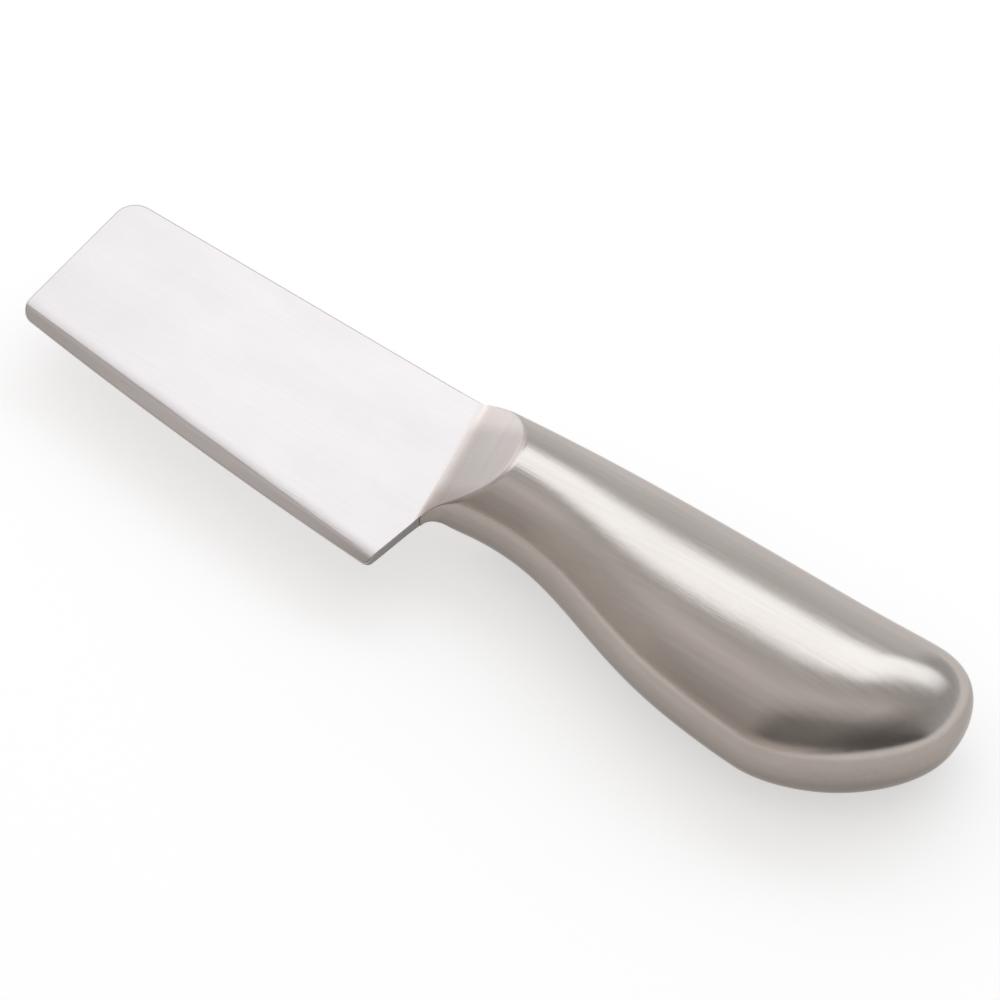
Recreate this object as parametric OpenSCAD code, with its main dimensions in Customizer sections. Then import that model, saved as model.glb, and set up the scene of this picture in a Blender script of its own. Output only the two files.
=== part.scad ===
// Cheese knife: a flat, slightly flaring blade on a hollow, drop-shaped metal handle.
// The knife lies on its side. X runs from the tip of the blade to the butt of the handle,
// Y from the cutting edge to the spine, and Z out of the blade's upper face.
// The origin is under the middle of the knife, on the surface that it lies on.
// All lengths are in millimetres and all angles in degrees.

/* [Blade] */
// Length of the blade along its spine, from the tip to the ramp
blade_len = 58.3; // [50:0.1:70]
// Width of the blade at the tip
tip_w = 23.3; // [20:0.1:26]
// Width of the blade at the heel
heel_w = 28.7; // [27:0.1:34]
// How far the cutting edge bows out from a straight line
edge_bow = 0.6; // [0.3:0.1:1.5]
// Thickness of the blade
blade_t = 1.6; // [1.4:0.1:2.4]
// Width of the ground bevel along the cutting edge
bevel_run = 1.8; // [1:0.1:3]
// Thickness left at the cutting edge
edge_t = 0.3; // [0.1:0.05:0.6]
// Radius of the corner between the spine and the tip
spine_corner_r = 3; // [1:0.5:6]
// Radius of the corner between the tip and the cutting edge
edge_corner_r = 2.5; // [0.5:0.5:4]
// Lean of the heel's end face
heel_lean = 8; // [0:0.5:15]

/* [Tang] */
// Width of the tang
tang_w = 9; // [6:0.5:10]
// Thickness of the tang, which is ground thinner than the blade
tang_t = 1.3; // [0.8:0.1:1.3]
// Distance from the line of the spine down to the tang
tang_drop = 3.2; // [2.5:0.1:4]
// Length of the tang behind the bolster
tang_reach = 16; // [12:0.5:24]
// Corner cut at the end of the tang
tang_chamfer = 2; // [0.5:0.5:3]
// Hole that anchors the tang in the filling
anchor_d = 4; // [2:0.5:5]
// Distance from the end of the tang to the middle of the anchor hole
anchor_back = 5; // [4:0.5:8]

/* [Bolster] */
// Lean of the line where the ramp meets the blade
ramp_lean = 11.3; // [0:0.1:18]
// Slope of the ramp above the blade's face
ramp_slope = 35; // [28:1:45]
// Radius of the hollow between the heel and the neck
toe_radius = 2; // [1:0.5:3]
// Length of the bolster from the blade to the mouth of the shells
bolster_len = 11.5; // [11:0.5:16]
// Length of the spigot that the shells fit over
spigot_len = 5; // [3:0.5:8]

/* [Handle] */
// Length of the handle from the blade to the butt
handle_len = 76.7; // [65:0.1:95]
// Height of the handle's back above the line of the spine
spine_rise = 2; // [0:0.1:4]
// Depth of the handle's belly below the line of the spine
belly_drop = 25; // [22:0.5:28]
// Thickness of the neck
neck_t = 13.3; // [11:0.1:16]
// Thickness of the handle at its swell
swell_t = 17.4; // [14:0.1:22]
// Distance from the line of the spine down to the point of the butt
butt_drop = 8; // [6:0.5:12]
// Length over which the back of the handle rounds to the butt
spine_round = 9; // [6:0.5:14]
// Length over which the belly rounds to the butt
belly_round = 21; // [16:0.5:28]
// Length over which the sides round to the butt
side_round = 12; // [8:0.5:18]
// Wall of the two pressed shells
shell_wall = 0.9; // [0.7:0.1:1.2]

/* [Joints] */
// Width of the weld along the seam of the shells
weld_w = 1; // [0.6:0.1:1.4]
// Depth of the weld along the seam of the shells
weld_depth = 0.5; // [0.3:0.05:0.6]
// Leg of the braze fillet behind the spigot
braze_leg = 0.8; // [0.4:0.1:1.5]
// Clearance between the shells and what they close over
seat_gap = 0.05; // [0.02:0.01:0.1]
// Clearance between the tang and its slot in the bolster
slot_gap = 0.05; // [0.02:0.01:0.1]

/* [Hidden] */

// Overrun of every cut and of every shape that is trimmed
cut_over = 0.1;
total_len = blade_len + handle_len;

// Height of the handle's back at even steps from the blade to the butt, in shares of spine_rise
spine_shares = [-0.29, 0.15, 0.53, 0.83, 0.95, 0.99, 0.99, 1.01, 1.09, 1.24, 1.48];
// Depth of the belly at the same steps, in shares of belly_drop
belly_shares = [0.91, 0.72, 0.63, 0.655, 0.79, 0.915, 0.975, 1.005, 0.99, 0.91, 0.765];
// Growth from the neck's thickness to the swell's at the same steps
side_shares = [0, 0, 0, 0.1, 0.45, 0.8, 1, 1, 0.975, 0.86, 0.57];
// How far round to the point of the butt the surface runs before the small flat at its end
butt_share = 0.985;
// The widest angle that the weld may take up at a ring, as a share of a quarter turn's sine
weld_cap_share = 0.8;
// Powers of the round-off curves and of the handle's section: 2 is a true ellipse
spine_power = 2.5;
belly_power = 1.7;
side_power = 2.3;
section_power = 2.26;

// Counts of segments: half a ring, the even rings, the butt's rings, the toe and the corners
half_steps = 14;
body_rings = 15;
butt_rings = 12;
neck_rings = 4;
toe_steps = 4;
corner_steps = 8;

// Lines of the handle, where along() is 0 at the blade and 1 at the butt
function along(x) = (x - blade_len) / handle_len;

// Smooth curve that a list of evenly spaced shares pulls into shape
function spline(v, t) =
    let (n = len(v) - 3, s = min(max(t, 0), 1) * n, k = min(floor(s), n - 1), f = s - k)
    (pow(1 - f, 3) * v[k]
        + (3 * pow(f, 3) - 6 * f * f + 4) * v[k + 1]
        + (3 * f + 3 * f * f - 3 * pow(f, 3) + 1) * v[k + 2]
        + pow(f, 3) * v[k + 3]) / 6;

// Falls from 1 towards 0 over the last length r before the butt
function round_off(x, r, p) =
    let (w = min(max((x - total_len + r) / r, 0), 1) * butt_share)
    pow(1 - pow(w, p), 1 / p);

function spine_y(x) =
    (spine_rise * spline(spine_shares, along(x)) + butt_drop) * round_off(x, spine_round, spine_power)
    - butt_drop;
function belly_line(x) =
    (butt_drop - belly_drop * spline(belly_shares, along(x))) * round_off(x, belly_round, belly_power)
    - butt_drop;
function side_z(x) =
    (neck_t + (swell_t - neck_t) * spline(side_shares, along(x))) / 2
    * round_off(x, side_round, side_power);

// Top corner of the heel, where the ramp line runs into the hollow under the neck
function toe_fall(n) =
    n == 0 ? toe_radius
    : toe_radius - belly_line(blade_len + toe_fall(n - 1) * tan(ramp_lean) + toe_radius);
toe_drop = toe_fall(4);
toe_x = blade_len + toe_drop * tan(ramp_lean);
toe_end = toe_x + toe_radius;
function toe_flare(x) =
    x >= toe_end ? 0
    : x <= toe_x ? toe_radius
    : toe_radius - sqrt(pow(toe_radius, 2) - pow(toe_end - x, 2));
function belly_y(x) = belly_line(x) - toe_flare(x);

// Places along X of the shells' mouth, the end of the spigot and the end of the tang
mouth_x = blade_len + bolster_len;
spigot_x = mouth_x + spigot_len;
tang_x = spigot_x + tang_reach;
butt_x = total_len - belly_round;

// Rings of the shells, closer together where the butt rounds off
body_x = spigot_x + braze_leg;
back_xs = concat(
    [for (i = [0 : body_rings - 1]) body_x + (butt_x - body_x) * i / body_rings],
    [for (i = [0 : butt_rings]) butt_x + (total_len - butt_x) * sin(90 * i / butt_rings)]);
shell_xs = concat([mouth_x, spigot_x], back_xs);

// Point of the handle's surface at place x and angle a, set in by a wall thickness
function round_part(c) = sign(c) * pow(abs(c), 2 / section_power);
function skin(x, inset, a) =
    let (top = spine_y(x), low = belly_y(x),
        slide = inset * max(0, (x - mouth_x) / (total_len - mouth_x)))
    [x - slide,
        (top + low) / 2 + ((top - low) / 2 - inset) * round_part(cos(a)),
        (side_z(x) - inset) * round_part(sin(a))];
function full_ring(x, inset) = [for (j = [0 : 2 * half_steps - 1]) skin(x, inset, 180 * j / half_steps)];

// Angle at which the surface reaches the edge of the weld
function weld_a(x) = asin(pow(min(weld_w / 2 / side_z(x), weld_cap_share), section_power / 2));

// Where the knife's own frame sits
low_z = max([for (x = shell_xs) side_z(x)]);
high_y = max([for (x = shell_xs) spine_y(x)]);
module place() {
    translate([-total_len / 2, (heel_w - high_y) / 2, low_z]) children();
}

// Triangles between two rows of n points, which start at points a and b
function between(a, b, n) = [
    for (j = [0 : n - 1], f = [
        [a + j, b + j, b + (j + 1) % n],
        [a + j, b + (j + 1) % n, a + (j + 1) % n]]) f];

// Solid through closed rings of points, with a flat face at each end
module loft(rings) {
    n = len(rings[0]);
    last = len(rings) - 1;
    polyhedron(
        points = [for (r = rings, p = r) p],
        faces = concat(
            [for (i = [0 : last - 1], f = between(i * n, (i + 1) * n, n)) f],
            [[for (j = [0 : n - 1]) j]],
            [[for (j = [n - 1 : -1 : 0]) last * n + j]]));
}

// The cutting edge is an arc of a circle through the tip's corner and the heel's corner
heel_x = toe_x - (heel_w - toe_drop) * tan(heel_lean);
edge_chord = norm([heel_x, heel_w - tip_w]);
edge_r = (pow(edge_chord / 2, 2) + pow(edge_bow, 2)) / (2 * edge_bow);
edge_fall = atan((heel_w - tip_w) / heel_x);
edge_mid = [heel_x / 2, -(tip_w + heel_w) / 2];
edge_centre = edge_mid + (edge_r - edge_bow) * [sin(edge_fall), cos(edge_fall)];
tip_fall = edge_fall + 2 * atan(2 * edge_bow / edge_chord);

// Outline of the blade, left long on the side of the cutting edge
low_w = tip_w + cut_over;
low_y = -(low_w + tan(tip_fall) * (toe_x + toe_drop * tan(heel_lean)))
    / (1 + tan(tip_fall) * tan(heel_lean));
low_x = toe_x + (low_y + toe_drop) * tan(heel_lean);
corner_y = edge_corner_r / cos(tip_fall) - edge_corner_r * tan(tip_fall) - low_w;
blade_outline = concat(
    [for (i = [0 : corner_steps])
        spine_corner_r * [1 - cos(90 * i / corner_steps), sin(90 * i / corner_steps) - 1]],
    [[blade_len, 0], [toe_x, -toe_drop], [low_x, low_y]],
    [for (i = [0 : corner_steps])
        let (a = 270 - tip_fall - (90 - tip_fall) * i / corner_steps)
        [edge_corner_r, corner_y] + edge_corner_r * [cos(a), sin(a)]]);

// Disc with both bevels turned on its rim, which trims the blade
module bevelled_disc() {
    translate([edge_centre.x, edge_centre.y, 0]) rotate_extrude($fn = 1440) polygon([
        [0, -blade_t / 2], [edge_r - bevel_run, -blade_t / 2], [edge_r, -edge_t / 2],
        [edge_r, edge_t / 2], [edge_r - bevel_run, blade_t / 2], [0, blade_t / 2]]);
}

// Flat tang with its anchor hole
module tang() {
    difference() {
        linear_extrude(height = tang_t, center = true) polygon([
            [blade_len, -tang_drop], [tang_x - tang_chamfer, -tang_drop],
            [tang_x, -tang_drop - tang_chamfer], [tang_x, -tang_drop - tang_w + tang_chamfer],
            [tang_x - tang_chamfer, -tang_drop - tang_w], [blade_len, -tang_drop - tang_w]]);
        translate([tang_x - anchor_back, -tang_drop - tang_w / 2, 0])
            cylinder(h = tang_t + 2 * cut_over, d = anchor_d, center = true, $fn = 48);
    }
}

// Stamped blade with its bevels, its sloping shoulder and its tang in one piece
module blade() {
    color("gainsboro") place() union() {
        intersection() {
            linear_extrude(height = 2 * blade_t, center = true) polygon(blade_outline);
            bevelled_disc();
        }
        tang();
    }
}

// Space behind the two ramps, which open out from the thickness of the blade
module ramp_space() {
    reach = handle_len / 2;
    rise = blade_t / 2 + reach * tan(ramp_slope);
    translate([blade_len, 0, 0]) rotate([0, 0, ramp_lean]) rotate([90, 0, 0])
        linear_extrude(height = 4 * belly_drop, center = true) polygon([
            [0, -blade_t / 2], [reach, -rise], [reach, rise], [0, blade_t / 2]]);
}

// Solid neck with its two ramps, the slot for the tang and the spigot for the shells
module bolster() {
    spigot_inset = shell_wall + seat_gap;
    neck_xs = concat(
        [blade_len - toe_radius],
        [for (i = [0 : toe_steps]) toe_end - toe_radius * cos(90 * i / toe_steps)],
        [for (i = [1 : neck_rings]) toe_end + (mouth_x - toe_end) * i / neck_rings]);
    rings = concat(
        [for (x = neck_xs) full_ring(x, 0)],
        [full_ring(mouth_x, spigot_inset), full_ring(spigot_x, spigot_inset)]);
    slot = [handle_len, tang_w + 2 * slot_gap, tang_t + 2 * slot_gap];
    color("silver") place() difference() {
        intersection() {
            loft(rings);
            ramp_space();
        }
        translate([blade_len - cut_over, -tang_drop - tang_w - slot_gap, -slot.z / 2]) cube(slot);
    }
}

// One pressed half of the handle, with a groove for the weld along its rim
module half_shell() {
    m = half_steps;
    n = 2 * m + 4;
    last = len(shell_xs) - 1;
    end = last * n;
    rings = [for (x = shell_xs) concat(
        [for (j = [0 : m]) skin(x, 0, weld_a(x) + (180 - 2 * weld_a(x)) * j / m)],
        [skin(x, weld_depth, 180)],
        [for (j = [m : -1 : 0]) skin(x, shell_wall, 180 * j / m)],
        [skin(x, weld_depth, 0)])];
    belly_groove = m + 1;
    belly_rim = m + 2;
    spine_rim = 2 * m + 2;
    spine_groove = 2 * m + 3;
    polyhedron(
        points = [for (r = rings, p = r) p],
        faces = concat(
            [for (i = [0 : last - 1], f = between(i * n, (i + 1) * n, n)) f],
            [for (j = [0 : m - 1]) [j, j + 1, spine_rim - j - 1, spine_rim - j]],
            [[m, belly_groove, belly_rim], [spine_groove, 0, spine_rim]],
            [[for (j = [m : -1 : 0]) end + j]],
            [[for (j = [spine_rim : -1 : belly_rim]) end + j]],
            [[end, end + spine_groove, end + belly_groove, end + m]],
            [[end + spine_groove, end + spine_rim, end + belly_rim, end + belly_groove]]));
}

module upper_handle_shell() {
    color("lightgray") place() half_shell();
}

module lower_handle_shell() {
    color("darkgray") place() mirror([0, 0, 1]) half_shell();
}

// Weld that fills the groove along the seam, ground flush, in one run round the butt
module seam_weld() {
    last = len(shell_xs) - 1;
    rings = [for (side = [0, 180], i = [0 : last])
        let (x = shell_xs[side == 0 ? i : last - i], a = weld_a(x))
        [skin(x, weld_depth, side), skin(x, 0, side == 0 ? -a : 180 + a),
            skin(x, 0, side), skin(x, 0, side == 0 ? a : 180 - a)]];
    color("dimgray") place() loft(rings);
}

// Braze fillet in the corner between the end of the spigot and the shells
module neck_braze() {
    inset = shell_wall + seat_gap;
    n = 2 * half_steps;
    points = concat(full_ring(spigot_x, inset), full_ring(body_x, inset),
        full_ring(spigot_x, inset + braze_leg));
    color("peru") place() polyhedron(
        points = points,
        faces = concat(between(0, n, n), between(n, 2 * n, n), between(2 * n, 0, n)));
}

// Filling that holds the tang and backs the shells
module handle_filler() {
    inset = shell_wall + seat_gap;
    rings = concat(
        [full_ring(spigot_x, inset + braze_leg)],
        [for (x = back_xs) full_ring(x, inset)]);
    color("wheat") place() difference() {
        loft(rings);
        tang();
    }
}

blade();
bolster();
upper_handle_shell();
lower_handle_shell();
seam_weld();
neck_braze();
handle_filler();
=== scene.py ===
"""Cheese knife: the visible pieces are smooth meshes made from the knife's own curves.

The knife's own frame, in millimetres, has X from the tip of the blade to the butt, Y up
to the line of the spine, and Z out of the middle of the blade. to_row() moves it to the row.
"""

import math

import bpy
import numpy as np
from mathutils import Matrix, Vector
from mathutils.geometry import tessellate_polygon


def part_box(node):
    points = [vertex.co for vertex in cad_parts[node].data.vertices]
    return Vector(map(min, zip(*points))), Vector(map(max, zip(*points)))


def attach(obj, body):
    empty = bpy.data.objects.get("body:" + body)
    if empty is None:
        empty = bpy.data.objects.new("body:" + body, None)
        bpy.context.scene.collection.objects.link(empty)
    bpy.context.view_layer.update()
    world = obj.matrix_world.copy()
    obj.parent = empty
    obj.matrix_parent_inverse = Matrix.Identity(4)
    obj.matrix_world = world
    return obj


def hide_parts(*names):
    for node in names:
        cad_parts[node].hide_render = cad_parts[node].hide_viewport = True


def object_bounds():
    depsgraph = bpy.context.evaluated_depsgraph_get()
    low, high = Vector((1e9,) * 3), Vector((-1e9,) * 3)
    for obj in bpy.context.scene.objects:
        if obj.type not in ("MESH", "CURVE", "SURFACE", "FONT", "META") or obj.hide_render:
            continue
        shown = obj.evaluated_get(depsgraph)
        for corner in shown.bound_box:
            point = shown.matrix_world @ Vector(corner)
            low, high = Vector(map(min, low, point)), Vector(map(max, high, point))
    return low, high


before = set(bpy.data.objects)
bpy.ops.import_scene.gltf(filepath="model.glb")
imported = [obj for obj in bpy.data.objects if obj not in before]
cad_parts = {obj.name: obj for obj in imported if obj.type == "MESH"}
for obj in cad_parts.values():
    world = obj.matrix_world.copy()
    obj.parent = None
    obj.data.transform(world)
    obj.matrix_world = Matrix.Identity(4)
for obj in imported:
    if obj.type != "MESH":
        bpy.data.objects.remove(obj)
CAD_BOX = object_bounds()

# Places that the CAD model fixes: the tip, the line of the spine and the middle of the blade
MM = 0.001
BLADE_LOW, BLADE_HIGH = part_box("blade")
ORIGIN = np.array([CAD_BOX[0].x, BLADE_HIGH.y, (BLADE_LOW.z + BLADE_HIGH.z) / 2])
TOTAL_LEN = (CAD_BOX[1].x - CAD_BOX[0].x) / MM

# Blade, in millimetres and degrees
BLADE_LEN = 58.3
TIP_W = 23.3
HEEL_W = 28.7
EDGE_BOW = 0.6
BLADE_T = 1.6
TIP_BEVEL = 1.3
HEEL_BEVEL = 1.0
EDGE_T = 0.3
SPINE_CORNER_R = 3.0
EDGE_CORNER_R = 2.5
HEEL_CORNER_R = 0.6
HEEL_LEAN = 8.0

# Softness of the bevel's shoulder, and the slight crown of the face beside it
SHOULDER_ROLL = 0.12
CROWN_RUN = 1.7
CROWN_SLOPE = math.tan(math.radians(4.5))

# Width of the rim that is meshed finely, and the radius at which each side's edges are broken
RIM_D = 3.6
SPINE_BREAK = 0.25
TIP_BREAK = 0.25
EDGE_BREAK = 0.1
HEEL_BREAK = 0.15

# Share of the blade's height that a broken edge takes up at most
EDGE_HOLD = 0.7

# Tang
TANG_W = 9.0
TANG_T = 1.3
TANG_DROP = 3.2
TANG_REACH = 16.0
TANG_CHAMFER = 2.0
ANCHOR_D = 4.0
ANCHOR_BACK = 5.0
SLOT_GAP = 0.05

# Bolster
RAMP_LEAN = math.radians(11.3)
RAMP_SLOPE = math.tan(math.radians(35))
TOE_RADIUS = 2.0
BOLSTER_LEN = 11.5
SPIGOT_LEN = 5.0

# Half length of the ramp's soft foot, and softness of its crest
RAMP_FOOT = 1.2
CREST_ROLL = 0.6

# Handle
SPINE_RISE = 2.0
BELLY_DROP = 25.0
NECK_T = 13.3
SWELL_T = 17.4
BUTT_DROP = 8.0
SPINE_ROUND = 9.0
BELLY_ROUND = 21.0
SIDE_ROUND = 12.0
SHELL_WALL = 0.9
SEAT_GAP = 0.05
WELD_W = 1.0
WELD_DEPTH = 0.5

# Height of the back, depth of the belly and growth of the sides at even steps to the butt
SPINE_SHARES = [-0.29, 0.15, 0.53, 0.83, 0.95, 0.99, 0.99, 1.01, 1.09, 1.24, 1.48]
BELLY_SHARES = [0.91, 0.72, 0.63, 0.655, 0.79, 0.915, 0.975, 1.005, 0.99, 0.91, 0.765]
SIDE_SHARES = [0, 0, 0, 0.1, 0.45, 0.8, 1, 1, 0.975, 0.86, 0.57]

# How far round to the butt the CAD's surface runs, how late the skin here closes past that, and
# the powers of the round-off curves and of the section
BUTT_SHARE = 0.985
BUTT_CAP_POWER = 8
SPINE_POWER = 2.5
BELLY_POWER = 1.7
SIDE_POWER = 2.3
SECTION_POWER = 2.26
SECTION_REACH = 1.2

HANDLE_LEN = TOTAL_LEN - BLADE_LEN
MOUTH_X = BLADE_LEN + BOLSTER_LEN
SPIGOT_X = MOUTH_X + SPIGOT_LEN
TANG_X = SPIGOT_X + TANG_REACH
BUTT_X = TOTAL_LEN - BELLY_ROUND

# How finely the handle's meshes are cut
HALF_STEPS = 72
BODY_RINGS = 110
BUTT_RINGS = 60
TOE_RINGS = 20
NECK_RINGS = 60
SEAM_STEPS = 6

# How finely the blade's mesh is cut: round its plan, over its broken edges and in from its rim
SPINE_STEPS = 56
SHOULDER_STEPS = 40
HEEL_STEPS = 40
EDGE_STEPS = 60
TIP_STEPS = 90
CORNER_STEPS = 24
HEEL_CORNER_STEPS = 12
HOLE_STEPS = 48
BREAK_STEPS = 4
INWARD_STEPS = 28
BREAK_EASE = 5

# Rounds of the searches, step of the slopes and decimals at which points are welded
SETTLE_ROUNDS = 6
HALVING_ROUNDS = 60
SLOPE_STEP = 0.001
WELD_DECIMALS = 5

# Least length of a vector and least upward part of a normal that something is divided by
LEAST_LENGTH = 1e-12
LEAST_RISE = 1e-6

# The half below the middle of the blade mirrors the half above it
MIRROR = np.array([1, 1, -1])
BOTH_HALVES = (np.ones(3), MIRROR)


def to_row(points):
    """Points of the knife's own frame, in metres in the row's frame."""
    return np.asarray(points, float) * MM + ORIGIN


def unit(v):
    """The vectors v at length 1."""
    return v / np.maximum(np.linalg.norm(v, axis=-1, keepdims=True), LEAST_LENGTH)


# Curves of the handle


def spline(shares, t):
    """Smooth curve that a list of evenly spaced shares pulls into shape."""
    v = np.asarray(shares, float)
    n = len(v) - 3
    s = np.clip(t, 0, 1) * n
    k = np.minimum(np.floor(s).astype(int), n - 1)
    f = s - k
    return ((1 - f) ** 3 * v[k] + (3 * f**3 - 6 * f * f + 4) * v[k + 1]
            + (3 * f + 3 * f * f - 3 * f**3 + 1) * v[k + 2] + f**3 * v[k + 3]) / 6


def round_off(x, r, power, closed=True):
    """Falls from 1 to 0 over the last length r before the butt, or leaves a small flat there."""
    w = np.clip((x - TOTAL_LEN + r) / r, 0, 1)
    w = w * (BUTT_SHARE + (1 - BUTT_SHARE) * w**BUTT_CAP_POWER) if closed else w * BUTT_SHARE
    return np.maximum(1 - w**power, 0) ** (1 / power)


def along(x):
    return (x - BLADE_LEN) / HANDLE_LEN


def spine_y(x, closed=True):
    rise = SPINE_RISE * spline(SPINE_SHARES, along(x)) + BUTT_DROP
    return rise * round_off(x, SPINE_ROUND, SPINE_POWER, closed) - BUTT_DROP


def belly_line(x, closed=True):
    drop = BUTT_DROP - BELLY_DROP * spline(BELLY_SHARES, along(x))
    return drop * round_off(x, BELLY_ROUND, BELLY_POWER, closed) - BUTT_DROP


def side_z(x, closed=True):
    half = (NECK_T + (SWELL_T - NECK_T) * spline(SIDE_SHARES, along(x))) / 2
    return half * round_off(x, SIDE_ROUND, SIDE_POWER, closed)


# Top corner of the heel, where the ramp line runs into the hollow under the neck
toe_drop = TOE_RADIUS
for _ in range(SETTLE_ROUNDS):
    toe_end = BLADE_LEN + toe_drop * math.tan(RAMP_LEAN) + TOE_RADIUS
    toe_drop = TOE_RADIUS - float(belly_line(toe_end))
TOE_DROP = toe_drop
TOE_X = BLADE_LEN + TOE_DROP * math.tan(RAMP_LEAN)
TOE_END = TOE_X + TOE_RADIUS

# Place where the ramp line meets the top of the neck
top_start = BLADE_LEN
for _ in range(SETTLE_ROUNDS):
    top_start = BLADE_LEN - float(spine_y(top_start)) * math.tan(RAMP_LEAN)
TOP_X = top_start


def belly_y(x, closed=True):
    """The belly, with the hollow that runs down to the heel."""
    back = np.clip(TOE_END - x, 0, TOE_RADIUS)
    return belly_line(x, closed) - (TOE_RADIUS - np.sqrt(TOE_RADIUS**2 - back**2))


def section(x, closed=True):
    """Middle and half height of the handle's section at x."""
    top, low = spine_y(x, closed), belly_y(x, closed)
    return (top + low) / 2, (top - low) / 2


def rounded(c):
    return np.sign(c) * np.abs(c) ** (2 / SECTION_POWER)


def skin(x, a, inset=0.0, closed=True):
    """Points of the handle's surface at x and angle a, set in by a wall."""
    mid, half = section(x, closed)
    slide = inset * np.maximum(0, (x - MOUTH_X) / (TOTAL_LEN - MOUTH_X))
    y = mid + (half - inset) * rounded(np.cos(a))
    z = (side_z(x, closed) - inset) * rounded(np.sin(a))
    return np.stack([x - slide + 0 * y, y, z], -1)


def skin_height(x, y):
    """Height of the handle's surface over a point of its plan."""
    mid, half = section(x)
    q = np.clip(np.abs((y - mid) / half), 0, 1)
    return side_z(x) * (1 - q**SECTION_POWER) ** (1 / SECTION_POWER)


def skin_normal(points):
    """Outward normal of the handle's surface at points on it."""
    x, y, z = points[..., 0], points[..., 1], points[..., 2]
    step = SLOPE_STEP
    x = np.minimum(x, TOTAL_LEN - 2 * step)
    (mid0, half0), (mid1, half1) = section(x - step), section(x + step)
    mid, half = (mid0 + mid1) / 2, (half0 + half1) / 2
    side0, side1 = side_z(x - step), side_z(x + step)
    side = (side0 + side1) / 2
    p = SECTION_POWER
    q = np.clip((y - mid) / half, -SECTION_REACH, SECTION_REACH)
    r = np.clip(z / side, -SECTION_REACH, SECTION_REACH)
    gq = np.sign(q) * np.abs(q) ** (p - 1)
    gr = np.sign(r) * np.abs(r) ** (p - 1)
    dq = (-(mid1 - mid0) - q * (half1 - half0)) / (2 * step) / half
    dr = -r * (side1 - side0) / (2 * step) / side
    return unit(np.stack([gq * dq + gr * dr, gq / half, gr / side], -1))


# Curves that the blade and the bolster share


def smooth_min(a, b, k):
    """The lower of a and b with the corner rounded, and how far it follows b."""
    h = np.maximum(k - np.abs(a - b), 0) / k
    return np.minimum(a, b) - h * h * k / 4, np.where(a < b, h / 2, 1 - h / 2)


def ramp_run(x, y):
    """Distance behind the line where the ramp meets the blade."""
    return (x - BLADE_LEN) * math.cos(RAMP_LEAN) + y * math.sin(RAMP_LEAN)


def ramp_height(x, y):
    """Height of the ramp with its soft foot, and its outward normal."""
    w = ramp_run(x, y)
    t = np.clip((w + RAMP_FOOT) / (2 * RAMP_FOOT), 0, 1)
    rise = np.where(w < RAMP_FOOT, RAMP_FOOT * t * t, w)
    slope = RAMP_SLOPE * t
    normal = [-slope * math.cos(RAMP_LEAN), -slope * math.sin(RAMP_LEAN), 1 + 0 * slope]
    return BLADE_T / 2 + RAMP_SLOPE * rise, unit(np.stack(normal, -1))


def blend_normals(n_a, n_b, t):
    """Normal of a surface that follows height a by 1 - t and height b by t."""
    share = t * n_a[..., 2] / np.maximum(n_b[..., 2], LEAST_RISE)
    return unit((1 - t)[..., None] * n_a + share[..., None] * n_b)


# Meshes


class Solid:
    """Collects the faces of one closed piece, with the shading normal of each corner."""

    def __init__(self):
        self.points, self.normals, self.faces, self.finish = [], [], [], []
        self.count = 0

    def add(self, points, normals, faces, finish=0):
        """Faces over a list of points, each with its own normal. All have as many corners."""
        points = np.asarray(points, float).reshape(-1, 3)
        faces = np.asarray(faces)
        self.points.append(points)
        self.normals.append(np.broadcast_to(normals, points.shape))
        self.faces.append(faces + self.count)
        self.finish.append(np.broadcast_to(finish, len(faces)))
        self.count += len(points)

    def grid(self, points, normals, finish=0):
        """Quads over a grid of points."""
        n, m = points.shape[:2]
        i = np.arange(n * m).reshape(n, m)
        quads = np.stack([i[:-1, :-1], i[1:, :-1], i[1:, 1:], i[:-1, 1:]], -1).reshape(-1, 4)
        self.add(points, np.broadcast_to(normals, points.shape).reshape(-1, 3), quads, finish)

    def flat(self, outline, normal, holes=()):
        """A flat face, cut into triangles round its holes."""
        loops = [np.asarray(outline, float), *[np.asarray(h, float) for h in holes]]
        if holes:
            faces = tessellate_polygon([[Vector(p) for p in loop] for loop in loops])
        else:
            faces = [range(len(outline))]
        self.add(np.concatenate(loops), unit(np.asarray(normal, float)), faces)

    def strip(self, a, b, normal):
        """Quads between two rows of points."""
        self.grid(np.stack([a, b]), np.asarray(normal, float))

    def mesh(self, name):
        """The mesh in metres, welded, with its faces turned to their normals."""
        points, normals = np.concatenate(self.points), np.concatenate(self.normals)
        rounded_points = np.round(points, WELD_DECIMALS)
        first, same = np.unique(rounded_points, axis=0, return_index=True, return_inverse=True)[1:]
        same = same.reshape(-1)
        loops, sizes, finish = [], [], []
        for faces, kind in zip(self.faces, self.finish):
            p = points[faces]
            area = np.cross(p - p[:, :1], np.roll(p, -1, 1) - p[:, :1]).sum(1)
            if (area * normals[faces].mean(1)).sum() < 0:
                faces = faces[:, ::-1]
            kept = same[faces] != same[np.roll(faces, 1, 1)]
            real = kept.sum(1) > 2
            loops.append(faces[real][kept[real]])
            sizes.append(kept[real].sum(1))
            finish.append(kind[real])
        loops, sizes = np.concatenate(loops), np.concatenate(sizes)
        mesh = bpy.data.meshes.new(name)
        mesh.vertices.add(len(first))
        mesh.vertices.foreach_set("co", to_row(points[first]).astype(np.float32).ravel())
        mesh.loops.add(len(loops))
        mesh.loops.foreach_set("vertex_index", same[loops].astype(np.int32))
        mesh.polygons.add(len(sizes))
        mesh.polygons.foreach_set("loop_start", np.r_[0, np.cumsum(sizes)[:-1]].astype(np.int32))
        mesh.polygons.foreach_set("material_index", np.concatenate(finish).astype(np.int32))
        mesh.update(calc_edges=True)
        mesh.normals_split_custom_set(normals[loops])
        return mesh


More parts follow.
